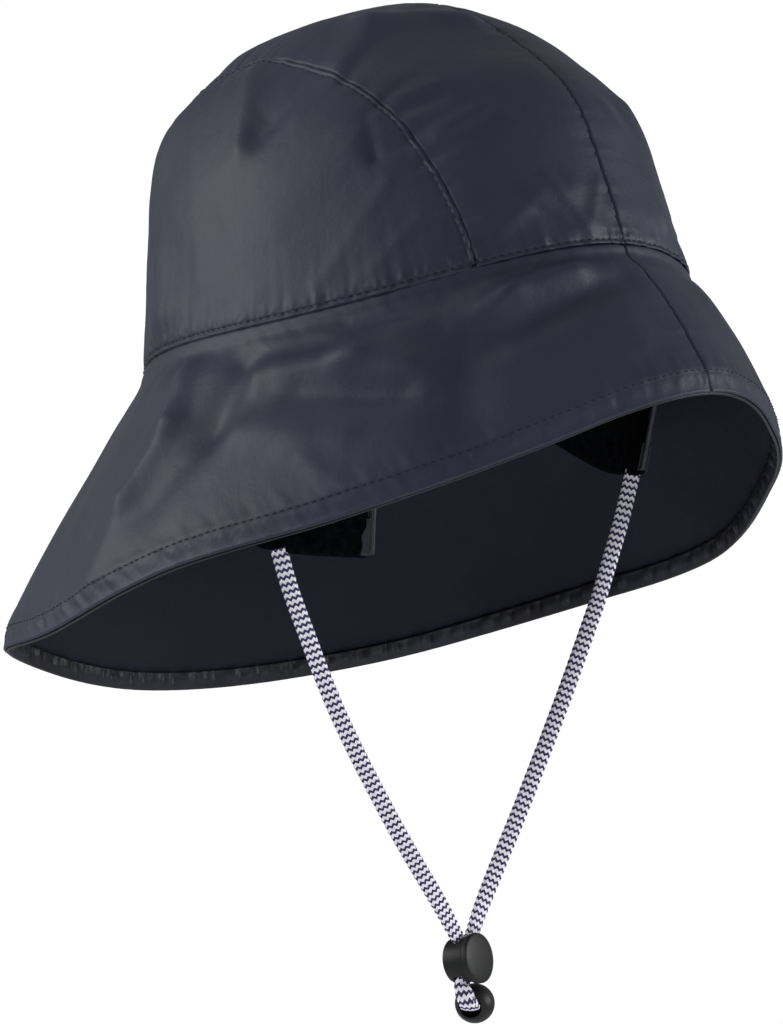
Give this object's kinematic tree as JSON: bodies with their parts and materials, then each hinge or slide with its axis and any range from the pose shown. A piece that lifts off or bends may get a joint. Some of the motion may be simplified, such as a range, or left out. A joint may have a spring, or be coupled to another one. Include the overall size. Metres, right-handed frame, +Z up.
{
  "type": "sou wester hat",
  "caption": "Adult rain hat with a panelled domed crown, a long sloping brim, fleece ear flaps and a braided chin cord with a push-button lock and a ball end.",
  "frame": {"origin": "middle of the band seam, where the hat sits on a head", "axes": "+Z up as worn, the front of the hat faces -Y, the wearer's right is -X"},
  "size_m": [0.2576, 0.2869, 0.35],
  "materials": {
    "coated_cloth": "satin",
    "hem_cloth": "satin",
    "fleece": "matte",
    "braid": "matte",
    "black_plastic": "satin"
  },
  "bodies": {
    "hat": {"side_panel_right": "coated_cloth", "side_panel_left": "coated_cloth", "centre_panel_right": "coated_cloth", "centre_panel_left": "coated_cloth", "brim_right": "coated_cloth", "brim_left": "coated_cloth", "brim_hem": "hem_cloth", "ear_flap_right": "fleece", "ear_flap_left": "fleece", "flap_binding_right": "coated_cloth", "flap_binding_left": "coated_cloth", "chin_cord_right": "braid", "chin_cord_left": "braid", "cord_tail": "braid", "lock_barrel": "black_plastic", "cord_ball": "black_plastic"},
    "button": {"lock_button": "black_plastic"}
  },
  "joints": [
    {"name": "lock_press", "type": "slide", "parent": "hat", "child": "button", "axis": [-0.2237, 0.9614, -0.1599], "range_m": [0, 0.0015], "stiffness_N_per_m": 800}
  ]
}
